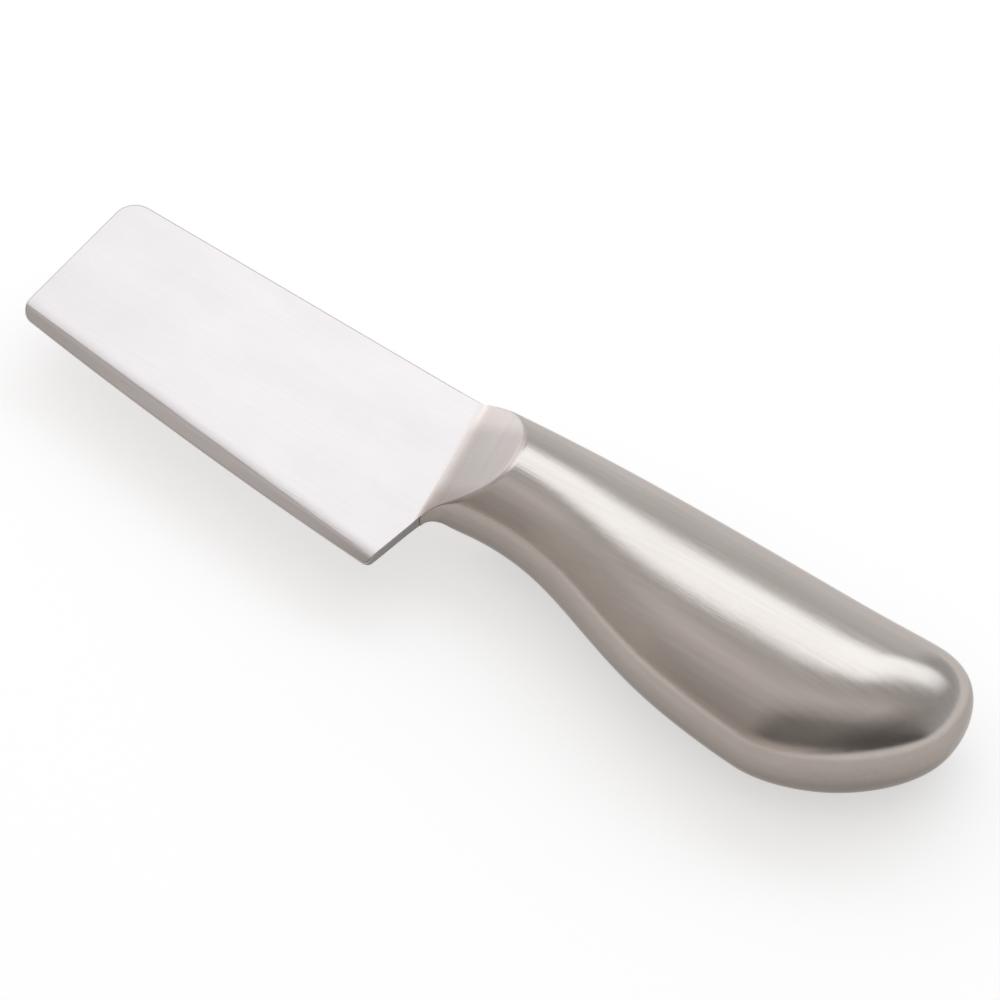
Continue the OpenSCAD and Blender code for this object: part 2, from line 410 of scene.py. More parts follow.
def piece(name, solid, node, materials):
    """Puts a finished piece in the scene in place of its CAD node."""
    obj = bpy.data.objects.new(name, solid.mesh(name))
    bpy.context.scene.collection.objects.link(obj)
    for material in materials:
        obj.data.materials.append(material)
    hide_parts(node)
    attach(obj, "root")


# Blade


def arc_points(centre, radius, start, end, steps):
    """Points of an arc and their outward directions."""
    a = np.radians(np.linspace(start, end, steps + 1))
    out = np.stack([np.cos(a), np.sin(a)], -1)
    return np.asarray(centre) + radius * out, out


def line_points(a, b, steps):
    t = np.linspace(0, 1, steps + 1)[:, None]
    return np.asarray(a) * (1 - t) + np.asarray(b) * t


HEEL_X = TOE_X - (HEEL_W - TOE_DROP) * math.tan(math.radians(HEEL_LEAN))
EDGE_CHORD = math.hypot(HEEL_X, HEEL_W - TIP_W)
EDGE_R = (EDGE_CHORD**2 / 4 + EDGE_BOW**2) / (2 * EDGE_BOW)
EDGE_FALL = math.atan2(HEEL_W - TIP_W, HEEL_X)
EDGE_CENTRE = np.array([HEEL_X / 2, -(TIP_W + HEEL_W) / 2]) + (EDGE_R - EDGE_BOW) * np.array(
    [math.sin(EDGE_FALL), math.cos(EDGE_FALL)])


def corner_centre(r, side_x, lean):
    """Centre and edge angle of a corner that touches the cutting edge and a side line.

    The side line passes through side_x at the height of the toe and leans like the heel."""
    side = np.array([math.cos(lean), -math.sin(lean)])
    offset = side @ np.array([side_x, -TOE_DROP]) - r
    reach = EDGE_R - r
    along_side = side @ EDGE_CENTRE
    across = np.array([-side[1], side[0]])
    depth = -math.sqrt(reach**2 - (offset - along_side) ** 2)
    centre = side * offset + across * (across @ EDGE_CENTRE + depth)
    return centre, math.atan2(*(centre - EDGE_CENTRE)[::-1])


def blade_sides():
    """Sides of the blade's plan in turn: points, inner points, outward directions, edge break."""
    d = RIM_D
    lean = math.radians(HEEL_LEAN)
    shoulder_out = np.array([math.cos(RAMP_LEAN), math.sin(RAMP_LEAN)])
    heel_out = np.array([math.cos(lean), -math.sin(lean)])
    spine_c = np.array([SPINE_CORNER_R, -SPINE_CORNER_R])
    tip_c = np.array([EDGE_CORNER_R, EDGE_CENTRE[1] - math.sqrt(
        (EDGE_R - EDGE_CORNER_R) ** 2 - (EDGE_CENTRE[0] - EDGE_CORNER_R) ** 2)])
    tip_a = math.atan2(*(tip_c - EDGE_CENTRE)[::-1])
    heel_c, heel_a = corner_centre(HEEL_CORNER_R, TOE_X, lean)
    heel_in, heel_in_a = corner_centre(d, TOE_X, lean)
    spine_in = np.array([d, -d])
    edge_in = np.array([d, EDGE_CENTRE[1] - math.sqrt(
        (EDGE_R - d) ** 2 - (EDGE_CENTRE[0] - d) ** 2)])
    edge_in_a = math.atan2(*(edge_in - EDGE_CENTRE)[::-1])
    top = np.array([BLADE_LEN, 0.0])
    toe = np.array([TOE_X, -TOE_DROP])
    top_in = np.linalg.solve([[0, 1], shoulder_out], [-d, shoulder_out @ top - d])
    toe_in = np.linalg.solve([shoulder_out, heel_out], [shoulder_out @ toe - d, heel_out @ toe - d])
    heel_top = heel_c + HEEL_CORNER_R * heel_out
    sides = []

    def straight(a, b, a_in, b_in, out, steps, rim):
        out = np.broadcast_to(out, (steps + 1, 2))
        sides.append((line_points(a, b, steps), line_points(a_in, b_in, steps), out, rim))

    corner, corner_out = arc_points(spine_c, SPINE_CORNER_R, 180, 90, CORNER_STEPS)
    sides.append((corner, np.broadcast_to(spine_in, corner.shape), corner_out, SPINE_BREAK))
    spine_start = spine_c + [0, SPINE_CORNER_R]
    straight(spine_start, top, spine_in, top_in, [0, 1], SPINE_STEPS, SPINE_BREAK)
    straight(top, toe, top_in, toe_in, shoulder_out, SHOULDER_STEPS, 0.0)
    straight(toe, heel_top, toe_in, heel_in, heel_out, HEEL_STEPS, HEEL_BREAK)
    corner, corner_out = arc_points(
        heel_c, HEEL_CORNER_R, -HEEL_LEAN, math.degrees(heel_a), HEEL_CORNER_STEPS)
    sides.append((corner, np.broadcast_to(heel_in, corner.shape), corner_out, HEEL_BREAK))
    angles = np.linspace(heel_a, tip_a, EDGE_STEPS + 1)
    inner_angles = np.linspace(heel_in_a, edge_in_a, EDGE_STEPS + 1)
    out = np.stack([np.cos(angles), np.sin(angles)], -1)
    inner_out = np.stack([np.cos(inner_angles), np.sin(inner_angles)], -1)
    edge, inner_edge = EDGE_CENTRE + EDGE_R * out, EDGE_CENTRE + (EDGE_R - d) * inner_out
    sides.append((edge, inner_edge, out, EDGE_BREAK))
    corner, corner_out = arc_points(tip_c, EDGE_CORNER_R, math.degrees(tip_a), -180, CORNER_STEPS)
    sides.append((corner, np.broadcast_to(edge_in, corner.shape), corner_out, TIP_BREAK))
    tip_start, tip_end = [0, tip_c[1]], [0, -SPINE_CORNER_R]
    straight(tip_start, tip_end, edge_in, spine_in, [-1, 0], TIP_STEPS, TIP_BREAK)
    return sides


def face_height(x, y):
    """Height of the blade's upper face with its bevel, and its normal."""
    ramp, n_ramp = ramp_height(x, y)
    dx, dy = x - EDGE_CENTRE[0], y - EDGE_CENTRE[1]
    r = np.hypot(dx, dy)
    share = np.clip(x / HEEL_X, 0, 1)
    run = TIP_BEVEL + (HEEL_BEVEL - TIP_BEVEL) * share + EDGE_BOW * (1 - (2 * share - 1) ** 2)
    slope = (BLADE_T - EDGE_T) / 2 / run
    bevel = EDGE_T / 2 + slope * (EDGE_R - r)
    n_bevel = unit(np.stack([slope * dx / r, slope * dy / r, 1 + 0 * r], -1))
    near = np.clip(1 - (EDGE_R - r - run) / CROWN_RUN, 0, 1)
    crown = CROWN_SLOPE * near
    n_ramp = unit(n_ramp + np.stack([crown * dx / r, crown * dy / r, 0 * r], -1))
    height, t = smooth_min(ramp - CROWN_SLOPE * CROWN_RUN * near**2 / 2, bevel, SHOULDER_ROLL)
    return height, blend_normals(n_ramp, n_bevel, t)


def rim_breaks(sides):
    """Radius of the broken edge at every point of each side, eased from side to side."""
    counts = [len(s[0]) for s in sides]
    plan = np.concatenate([s[0] for s in sides])
    flat = np.concatenate([np.full(c, s[3]) for c, s in zip(counts, sides)])
    shifts = range(-BREAK_EASE, BREAK_EASE + 1)
    eased = sum(np.roll(flat, k) for k in shifts) / len(shifts)
    starts = np.cumsum([0, *counts])[:-1]
    for k, start in enumerate(starts):
        pair = [start - 1, start]
        eased[pair] = 0 if 0 in flat[pair] else eased[pair].mean()
    eased = np.where(flat == 0, 0, eased)
    eased = np.minimum(eased, EDGE_HOLD * face_height(plan[:, 0], plan[:, 1])[0])
    return np.split(eased, starts[1:])


# Place of each finish in the list of its piece's materials
CUT_FINISH = 1
RAMP_FINISH = 1


def blade_solid():
    """The stamped blade with rolled edges, and the tang behind it."""
    solid = Solid()
    sides = blade_sides()
    rims = rim_breaks(sides)
    turns = np.radians(np.linspace(90, 0, BREAK_STEPS + 1))
    steps = np.linspace(0, 1, INWARD_STEPS + 1)[1:]
    inner_loop, shoulder_loop = [], None
    for (outer, inner, out, rim), breaks in zip(sides, rims):
        rows = [(breaks * (1 - math.sin(a)), breaks * (1 - math.cos(a)), a) for a in turns]
        rows += [(breaks + (RIM_D - breaks) * s, 0 * breaks, 0.0) for s in steps]
        if rim == 0:
            rows = rows[BREAK_STEPS:]
        points, normals = [], []
        for d, drop, a in rows:
            plan = outer + (inner - outer) * (d / RIM_D)[:, None]
            height, n = face_height(plan[:, 0], plan[:, 1])
            out3 = np.concatenate([out, 0 * out[:, :1]], -1)
            points.append(np.concatenate([plan, (height - drop)[:, None]], -1))
            normals.append(unit(n * math.cos(a) + out3 * math.sin(a)))
        points, normals = np.array(points), np.array(normals)
        for flip in BOTH_HALVES:
            solid.grid(points * flip, normals * flip)
        inner_loop.append(points[-1][:-1])
        wall = np.stack([points[0], points[0] * MIRROR])
        if rim == 0:
            shoulder_loop = np.concatenate([wall[0], wall[1][::-1]])
        else:
            solid.grid(wall, np.stack([out3, out3]), CUT_FINISH)
    inner_loop = np.concatenate(inner_loop)
    for flip in (1, -1):
        solid.flat(inner_loop * [1, 1, flip], [0, 0, flip])
    add_tang(solid, shoulder_loop)
    return solid


def on_ramp_line(y):
    return BLADE_LEN - y * math.tan(RAMP_LEAN)


def add_tang(solid, shoulder_loop):
    """The tang, from the shoulder's wall to its cut corners, with the anchor hole."""
    high, low = -TANG_DROP, -TANG_DROP - TANG_W
    shoulder_out = [math.cos(RAMP_LEAN), math.sin(RAMP_LEAN), 0]
    half = TANG_T / 2
    start = np.array([[on_ramp_line(high), high], [on_ramp_line(low), low]])
    corners = ((start[0], half), (start[1], half), (start[1], -half), (start[0], -half))
    root = [[*p, z] for p, z in corners]
    solid.flat(shoulder_loop, shoulder_out, holes=[root])
    back = TANG_X - TANG_CHAMFER
    outline = np.array([start[0], [back, high], [TANG_X, high - TANG_CHAMFER],
                        [TANG_X, low + TANG_CHAMFER], [back, low], start[1]])
    hole_centre = [TANG_X - ANCHOR_BACK, (high + low) / 2]
    hole, hole_out = arc_points(hole_centre, ANCHOR_D / 2, 0, 360, HOLE_STEPS)
    for flip in (1, -1):
        z = half * flip
        loops = [[[*p, z] for p in loop] for loop in (outline, hole[:-1])]
        solid.flat(loops[0], [0, 0, flip], holes=[loops[1]])
    for a, b in zip(outline[:-1], outline[1:]):
        normal = [a[1] - b[1], b[0] - a[0], 0]
        solid.flat([[*a, half], [*b, half], [*b, -half], [*a, -half]], normal)
    wall = np.stack([np.c_[hole, np.full(len(hole), z)] for z in (half, -half)])
    solid.grid(wall, -np.c_[hole_out, 0 * hole_out[:, 0]])


# Bolster


def bolster_solid():
    """The neck with its two ramps, the slot for the tang and the spigot for the shells."""
    solid = Solid()
    turn = np.radians(np.linspace(0, 90, TOE_RINGS + 1))
    low_x = np.concatenate([TOE_END - TOE_RADIUS * np.cos(turn),
                            np.linspace(TOE_END, MOUTH_X, NECK_RINGS + 1)[1:]])
    run = np.concatenate([[0], np.cumsum(np.hypot(np.diff(low_x), np.diff(belly_y(low_x))))])
    top_x = TOP_X + (MOUTH_X - TOP_X) * run / run[-1]
    a = np.linspace(0, math.pi, 2 * HALF_STEPS + 1)
    share = (1 + rounded(np.cos(a))) / 2
    x = low_x[:, None] + (top_x - low_x)[:, None] * share
    y = belly_y(low_x)[:, None] + (spine_y(top_x) - belly_y(low_x))[:, None] * share
    z = skin_height(x, y)
    z[:, 0] = z[:, -1] = 0
    ramp, n_ramp = ramp_height(x, y)
    height, t = smooth_min(z, ramp, CREST_ROLL)
    normals = blend_normals(skin_normal(np.stack([x, y, z], -1)), n_ramp, t)
    points = np.stack([x, y, height], -1)
    on_ramp = (t[:-1, :-1] + t[1:, 1:] > 1).astype(int) * RAMP_FINISH
    for flip in BOTH_HALVES:
        solid.grid(points * flip, normals * flip, on_ramp.reshape(-1))
    whole = np.linspace(0, 2 * math.pi, 4 * HALF_STEPS + 1)
    inset = SHELL_WALL + SEAT_GAP
    mouth = np.concatenate([points[-1], points[-1][-2::-1] * MIRROR])
    seat, end = skin(MOUTH_X, whole, inset), skin(SPIGOT_X, whole, inset)
    solid.strip(mouth, seat, [1, 0, 0])
    across = unit(np.stack([0 * whole, end[:, 1] - end[:, 1].mean(), end[:, 2]], -1))
    solid.grid(np.stack([seat, end]), np.stack([across, across]))
    front = np.concatenate([points[0], points[0][-2:0:-1] * MIRROR])
    high, low = -TANG_DROP + SLOT_GAP, -TANG_DROP - TANG_W - SLOT_GAP
    half = TANG_T / 2 + SLOT_GAP
    corners = [(high, half), (low, half), (low, -half), (high, -half)]
    mouth_hole = [[on_ramp_line(y), y, z] for y, z in corners]
    back_hole = [[SPIGOT_X, y, z] for y, z in corners]
    solid.flat(front, [-math.cos(RAMP_LEAN), -math.sin(RAMP_LEAN), 0], holes=[mouth_hole])
    solid.flat(end[:-1], [1, 0, 0], holes=[back_hole])
    inward = [[0, 0, -1], [0, 1, 0], [0, 0, 1], [0, -1, 0]]
    for k, normal in enumerate(inward):
        j = (k + 1) % 4
        solid.flat([mouth_hole[k], mouth_hole[j], back_hole[j], back_hole[k]], normal)
    return solid


# Shells and seam


def butt_seam_x():
    """Place near the butt where the handle is only as thick as the weld is wide."""
    low, high = BUTT_X, TOTAL_LEN
    for _ in range(HALVING_ROUNDS):
        middle = (low + high) / 2
        if side_z(middle) > WELD_W / 2:
            low = middle
        else:
            high = middle
    return low


SEAM_END_X = butt_seam_x()


def shell_rings():
    """Places of the shells' rings, closer together at the butt."""
    body = np.linspace(MOUTH_X, BUTT_X, BODY_RINGS + 1)
    turn = np.radians(np.linspace(0, 90, BUTT_RINGS + 1))[1:]
    return np.concatenate([body, BUTT_X + (SEAM_END_X - BUTT_X) * np.sin(turn)])


def seam_angle(x):
    """Angle at which the surface reaches the edge of the weld."""
    share = np.clip(WELD_W / 2 / side_z(x), 0, 1)
    return np.arcsin(share ** (SECTION_POWER / 2))


def shell_solid(flip):
    """One pressed half of the handle, with a groove for the weld along its rim."""
    solid = Solid()
    side = np.array([1, 1, flip])
    x = shell_rings()
    edge = seam_angle(x)[:, None]
    share = np.linspace(0, 1, 2 * HALF_STEPS + 1)
    outer = skin(x[:, None], edge + (math.pi - 2 * edge) * share)
    solid.grid(outer * side, skin_normal(outer) * side)
    inner_x = np.linspace(MOUTH_X, TOTAL_LEN, len(x))
    inner = skin(inner_x[:, None], math.pi * share[::2], SHELL_WALL, closed=False)
    inner[:, 0, 2] = inner[:, -1, 2] = 0
    centre = inner.mean(1, keepdims=True)
    solid.grid(inner * side, unit(centre - inner) * side)
    return solid, outer, inner, inner_x, side


def groove_line(x, angle):
    """Bottom of the weld's groove on the spine's side or the belly's."""
    line = skin(x, angle + 0 * x, WELD_DEPTH, closed=False)
    line[:, 2] = 0
    return line


def shell_piece(flip):
    """Closes the shell between its outer and inner faces."""
    solid, outer, inner, inner_x, side = shell_solid(flip)
    down = [0, 0, -flip]
    for column, angle, sign in ((0, 0.0, 1), (-1, math.pi, -1)):
        groove = groove_line(inner_x, angle)
        wall = unit(np.array([0, sign * 0.5, -1.0]) * side)
        solid.strip(outer[:, column] * side, groove, wall)
        solid.strip(groove, inner[:, column], down)
    tip = outer[-1, 0] * side
    grooves = [groove_line(inner_x, angle)[-1] for angle in (0.0, math.pi)]
    solid.flat([tip, grooves[0], grooves[1]], [1, 0, -flip])
    solid.flat([grooves[0], inner[-1, 0], inner[-1, -1], grooves[1]], down)
    solid.flat(inner[-1] * side, [-1, 0, 0])
    starts = [groove_line(inner_x, angle)[:1] for angle in (math.pi, 0.0)]
    rim = np.concatenate([outer[0] * side, starts[0], inner[0][::-1] * side, starts[1]])
    solid.flat(rim, [-1, 0, 0])
    return solid


def seam_solid():
    """The weld that fills the groove, ground flush, in one run round the butt."""
    solid = Solid()
    x = shell_rings()
    inner_x = np.linspace(MOUTH_X, TOTAL_LEN, len(x))
    edge = seam_angle(x)[:, None]
    share = np.linspace(-1, 1, 2 * SEAM_STEPS + 1)
    grooves = []
    for angle in (0.0, math.pi):
        face = skin(x[:, None], angle + edge * share)
        if angle == 0:
            face[:, SEAM_STEPS, 2] = 0
        solid.grid(face, skin_normal(face))
        groove = groove_line(inner_x, angle)
        grooves.append(groove)
        for column in (0, -1):
            z = np.sign(face[0, column, 2])
            solid.strip(face[:, column], groove, unit(np.array([0, -0.5 * math.cos(angle), z])))
        solid.flat(np.concatenate([face[0], groove[:1]]), [-1, 0, 0])
    turn = np.radians(np.linspace(0, 90, SEAM_STEPS + 1))
    cap_x = SEAM_END_X + (TOTAL_LEN - SEAM_END_X) * np.sin(turn)
    around = np.concatenate([math.pi / 2 * share, math.pi + math.pi / 2 * share[1:]])
    cap = skin(cap_x[:, None], around)
    normals = skin_normal(cap)
    cap[-1] = [TOTAL_LEN, -BUTT_DROP, 0]
    normals[-1] = [1, 0, 0]
    solid.grid(cap, normals)
    for z in (1, -1):
        tip = skin(np.array([SEAM_END_X]), np.array([z * math.pi / 2]))[0]
        solid.flat([tip, grooves[0][-1], grooves[1][-1]], [-1, 0, z])
    return solid


# Materials


# Noise of the metal: cycles in a metre along the three axes, and how fine its detail goes
FINE_LINES = ((120, 9000, 9000), 3)
COARSE_LINES = ((30, 1500, 1500), 2)
CLOUDS = ((60, 110, 110), 3)
MINERAL_DETAIL = 4
NOISE_ROUGHNESS = 0.55

# Part of the noise's range that holds most of it
NOISE_LOW = 0.3
NOISE_HIGH = 0.7

WHITE = (1, 1, 1, 1)

# Places of the two colours among a Mix node's inputs, and of the mixed one among its outputs
MIX_A = 6
MIX_B = 7
MIX_RESULT = 2


def node_tree(name):
    material = bpy.data.materials.new(name)
    material.use_nodes = True
    nodes, links = material.node_tree.nodes, material.node_tree.links
    return material, nodes, links, nodes["Principled BSDF"]


def combined(nodes, links, kind, operation, a, b):
    """A maths node of the kind over two values, which are outputs, numbers or vectors."""
    node = nodes.new(kind)
    node.operation = operation
    for slot, value in zip(node.inputs, (a, b)):
        if isinstance(value, bpy.types.NodeSocket):
            links.new(value, slot)
        else:
            slot.default_value = value
    return node


def number(nodes, links, operation, a, b):
    return combined(nodes, links, "ShaderNodeMath", operation, a, b).outputs[0]


def vector(nodes, links, operation, a, b, result="Vector"):
    return combined(nodes, links, "ShaderNodeVectorMath", operation, a, b).outputs[result]


def mixed(nodes, links, share, a, b):
    """Colour a turning into colour b."""
    mix = nodes.new("ShaderNodeMix")
    mix.data_type = "RGBA"
    links.new(share, mix.inputs["Factor"])
    links.new(a, mix.inputs[MIX_A])
    if isinstance(b, bpy.types.NodeSocket):
        links.new(b, mix.inputs[MIX_B])
    else:
        mix.inputs[MIX_B].default_value = b
    return mix.outputs[MIX_RESULT]


def noise(nodes, links, turn, scale, detail):
    """Noise over the piece's own coordinates, turned about Z and stretched."""
    place = nodes.new("ShaderNodeTexCoord")
    rotate = nodes.new("ShaderNodeMapping")
    rotate.vector_type = "TEXTURE"
    rotate.inputs["Rotation"].default_value = (0, 0, turn)
    links.new(place.outputs["Object"], rotate.inputs["Vector"])
    stretch = nodes.new("ShaderNodeMapping")
    stretch.inputs["Scale"].default_value = scale
    links.new(rotate.outputs["Vector"], stretch.inputs["Vector"])
    texture = nodes.new("ShaderNodeTexNoise")
    texture.inputs["Scale"].default_value = 1.0
    texture.inputs["Detail"].default_value = detail
    texture.inputs["Roughness"].default_value = NOISE_ROUGHNESS
    links.new(stretch.outputs["Vector"], texture.inputs["Vector"])
    return texture.outputs["Fac"]


def spread(nodes, links, value, low, high, to_low, to_high):
    """Maps value from low..high to to_low..to_high."""
    node = nodes.new("ShaderNodeMapRange")
    node.inputs["From Min"].default_value = low
    node.inputs["From Max"].default_value = high
    node.inputs["To Min"].default_value = to_low
    node.inputs["To Max"].default_value = to_high
    links.new(value, node.inputs["Value"])
    return node.outputs["Result"]


def color_steps(ramp, steps):
    """Sets the places and colours of a soft colour ramp."""
    ramp.interpolation = "EASE"
    while len(ramp.elements) < len(steps):
        ramp.elements.new(0.5)
    for element, (place, color) in zip(ramp.elements, steps):
        element.position = place
        element.color = (*color, 1)


def rough_and_uneven(nodes, links, shader, value, roughness, swing):
    """Roughness that follows a noise by a small swing to either side."""
    smooth, rough = roughness - swing, roughness + swing
    uneven = spread(nodes, links, value, NOISE_LOW, NOISE_HIGH, smooth, rough)
    links.new(uneven, shader.inputs["Roughness"])


def bumped(nodes, links, shader, height, strength, distance):
    bump = nodes.new("ShaderNodeBump")
    bump.inputs["Strength"].default_value = strength
    bump.inputs["Distance"].default_value = distance
    links.new(height, bump.inputs["Height"])
    links.new(bump.outputs["Normal"], shader.inputs["Normal"])


def toned(nodes, links, color, axis, tones):
    """The colour times shares of itself that change along an axis of the knife, in millimetres:
    painted light and shade.
    """
    place = nodes.new("ShaderNodeTexCoord")
    split = nodes.new("ShaderNodeSeparateXYZ")
    links.new(place.outputs["Object"], split.inputs[0])
    ramp = nodes.new("ShaderNodeValToRGB")
    first, last = tones[0][0], tones[-1][0]
    color_steps(ramp.color_ramp, [((at - first) / (last - first), share) for at, share in tones])
    start, end = to_row([[first] * 3, [last] * 3])[:, "XYZ".index(axis)]
    links.new(spread(nodes, links, split.outputs[axis], start, end, 0.0, 1.0), ramp.inputs["Fac"])
    return vector(nodes, links, "MULTIPLY", color, ramp.outputs["Color"])


# Painted shade: the handle's steel darkens from its upper side towards its underside
def handle_painted_shade(nodes, links, color):
    return toned(nodes, links, color, "Z", HANDLE_PAINTED_SHADE)


# Painted light: the ramp's steel is brightest at its top and falls into painted shade towards the
# toe
def ramp_painted_light(nodes, links, color):
    return toned(nodes, links, color, "Y", RAMP_PAINTED_TONES)


def blade_into_painted_ramp(nodes, links, color):
    """The blade's colour, which turns into the ramp's painted highlight and shade just before the
    ramp line.
    """
    ratio = [r / b for r, b in zip(RAMP_HIGHLIGHT_COLOR, BLADE_COLOR)]
    painted_ramp_color = ramp_painted_light(nodes, links, vector(nodes, links, "MULTIPLY", color, ratio))
    place = nodes.new("ShaderNodeTexCoord")
    across = (math.cos(RAMP_LEAN), math.sin(RAMP_LEAN), 0)
    reach = vector(nodes, links, "DOT_PRODUCT", place.outputs["Object"], across, "Value")
    line = float(to_row([BLADE_LEN, 0, 0]) @ np.array(across))
    share = spread(nodes, links, reach, line - FOOT_BLEND * MM, line, 0.0, 1.0)
    return mixed(nodes, links, share, color, painted_ramp_color)


def brushed_steel(name, color, brush, roughness, streak, lean=0.0, shade=None):
    """Satin steel, brushed along one direction, with faint streaks and cloudy patches.

    The streaks are so many metres deep, and lean turns them in the plan."""
    material, nodes, links, shader = node_tree(name)
    fine = noise(nodes, links, lean, *FINE_LINES)
    coarse = noise(nodes, links, lean, *COARSE_LINES)
    cloud = noise(nodes, links, lean, *CLOUDS)
    both = number(nodes, links, "ADD", coarse, cloud)
    ramp = nodes.new("ShaderNodeValToRGB")
    darker, lighter = ramp.color_ramp.elements
    darker.position = NOISE_LOW
    darker.color = (*[c * (1 - STEEL_SPREAD) for c in color], 1)
    lighter.position = NOISE_HIGH
    lighter.color = (*[c * (1 + STEEL_SPREAD) for c in color], 1)
    links.new(spread(nodes, links, both, 0.0, 2.0, 0.0, 1.0), ramp.inputs["Fac"])
    tone = ramp.outputs["Color"]
    # Painted light and shade, where a steel has them, scale its colour
    if shade:
        tone = shade(nodes, links, tone)
    links.new(tone, shader.inputs["Base Color"])
    rough_and_uneven(nodes, links, shader, coarse, roughness, STEEL_ROUGHNESS_SWING)
    bumped(nodes, links, shader, fine, STREAK_STRENGTH, streak)
    place = nodes.new("ShaderNodeNewGeometry")
    across = vector(nodes, links, "CROSS_PRODUCT", place.outputs["Normal"], brush)
    links.new(across, shader.inputs["Tangent"])
    shader.inputs["Metallic"].default_value = 1.0
    shader.inputs["Anisotropic"].default_value = STEEL_ANISOTROPY
    shader.inputs["Specular Tint"].default_value = STEEL_EDGE_TINT
    return material


def plain_mineral(name, colors, grain, roughness, metallic=0.0):
    """A cast or flowed surface with soft mottling."""
    material, nodes, links, shader = node_tree(name)
    cloud = noise(nodes, links, 0.0, (grain, grain, grain), MINERAL_DETAIL)
    ramp = nodes.new("ShaderNodeValToRGB")
    ramp.color_ramp.elements[0].color = (*colors[0], 1)
    ramp.color_ramp.elements[1].color = (*colors[1], 1)
    links.new(cloud, ramp.inputs["Fac"])
    links.new(ramp.outputs["Color"], shader.inputs["Base Color"])
    rough_and_uneven(nodes, links, shader, cloud, roughness, MINERAL_ROUGHNESS_SWING)
    bumped(nodes, links, shader, cloud, MINERAL_BUMP, MINERAL_DEPTH)
    shader.inputs["Metallic"].default_value = metallic
    return material


# Steel: spread of the tone to either side, stretch of the gloss, tint at grazing angles, swing of
# the roughness, and strength of the streaks
STEEL_SPREAD = 0.06
STEEL_ANISOTROPY = 0.4
STEEL_EDGE_TINT = (0.8, 0.79, 0.78, 1)
STEEL_ROUGHNESS_SWING = 0.02
STREAK_STRENGTH = 0.08

# Colour, roughness and depth of the streaks of each steel
HANDLE_COLOR = (0.497, 0.444, 0.413)
HANDLE_ROUGHNESS = 0.14
HANDLE_STREAK = 0.00012
BLADE_COLOR = (0.525, 0.477, 0.47)
BLADE_ROUGHNESS = 0.18
BLADE_STREAK = 0.00006
# The ramp's colour lies well above the handle's steel, as a painted highlight that the ramp's tones
# take down
RAMP_HIGHLIGHT_COLOR = (0.777, 0.697, 0.675)
RAMP_ROUGHNESS = 0.26
RAMP_STREAK = 0.00004
CUT_COLOR = (0.3, 0.285, 0.275)
CUT_ROUGHNESS = 0.4
CUT_STREAK = 0.00012

# Tones of the ramp by Y, from the spine down: a painted highlight at its top falling into painted
# shade; and painted shade of the handle by Z, from its upper side down to its underside
RAMP_PAINTED_TONES = [(0, (1, 1, 1)), (-2, (0.955, 0.955, 0.955)), (-5, (0.746, 0.746, 0.746)),
              (-12.5, (0.72, 0.72, 0.72)), (-16, (0.56, 0.53, 0.52)), (-18, (0.45, 0.42, 0.4))]
# Painted shade of the handle, darker down to its underside
HANDLE_PAINTED_SHADE = [(4, (1, 1, 1)), (3, (0.78, 0.765, 0.755)), (0.5, (0.72, 0.705, 0.69)),
                (-2, (0.57, 0.555, 0.54)), (-4.5, (0.45, 0.435, 0.42))]

# Length before the ramp line over which the blade's colour turns into the ramp's painted highlight
# and shade
FOOT_BLEND = 0.7

# Directions of the brush: along the knife, up, and along the ramp line
ALONG_KNIFE = (1, 0, 0)
UPWARDS = (0, 0, 1)
RAMP_LINE = (math.sin(RAMP_LEAN), -math.cos(RAMP_LEAN), 0)
RAMP_TURN = math.pi / 2 + RAMP_LEAN

# Braze and filling: the two colours of their mottling, its grain in cycles in a metre and roughness
BRAZE_COLORS = ((0.62, 0.42, 0.2), (0.72, 0.52, 0.28))
BRAZE_GRAIN = 900
BRAZE_ROUGHNESS = 0.35
RESIN_COLORS = ((0.5, 0.44, 0.33), (0.6, 0.54, 0.42))
RESIN_GRAIN = 700
RESIN_ROUGHNESS = 0.7
MINERAL_ROUGHNESS_SWING = 0.05
MINERAL_BUMP = 0.3
MINERAL_DEPTH = 0.0001

handle_steel = brushed_steel("handle_steel", HANDLE_COLOR, ALONG_KNIFE, HANDLE_ROUGHNESS,
                             HANDLE_STREAK, shade=handle_painted_shade)
ramp_steel_painted_light = brushed_steel("ramp_steel_painted_light", RAMP_HIGHLIGHT_COLOR, RAMP_LINE, RAMP_ROUGHNESS,
                           RAMP_STREAK, RAMP_TURN, ramp_painted_light)
blade_steel = brushed_steel("blade_steel", BLADE_COLOR, ALONG_KNIFE, BLADE_ROUGHNESS,
                            BLADE_STREAK, shade=blade_into_painted_ramp)
cut_steel = brushed_steel("cut_steel", CUT_COLOR, UPWARDS, CUT_ROUGHNESS, CUT_STREAK)
braze_metal = plain_mineral("braze_metal", BRAZE_COLORS, BRAZE_GRAIN, BRAZE_ROUGHNESS, metallic=1.0)
filler_resin = plain_mineral("filler_resin", RESIN_COLORS, RESIN_GRAIN, RESIN_ROUGHNESS)


# Pieces

piece("knife_blade", blade_solid(), "blade", [blade_steel, cut_steel])
piece("neck_bolster", bolster_solid(), "bolster", [handle_steel, ramp_steel_painted_light])
piece("handle_shell_upper", shell_piece(1), "upper_handle_shell", [handle_steel])
piece("handle_shell_lower", shell_piece(-1), "lower_handle_shell", [handle_steel])
piece("handle_seam", seam_solid(), "seam_weld", [handle_steel])


def dress_node(name, material):
    """A CAD node that stays as it is gets its own material."""
    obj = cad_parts[name]
    obj.data.materials.clear()
    obj.data.materials.append(material)


dress_node("neck_braze", braze_metal)
dress_node("handle_filler", filler_resin)


# Floor: its side in metres, its colour, and the light that it adds where the camera sees it

FLOOR_SIZE = 6.0
FLOOR_COLOR = (0.675, 0.665, 0.67)
FLOOR_GLOW = 0.545


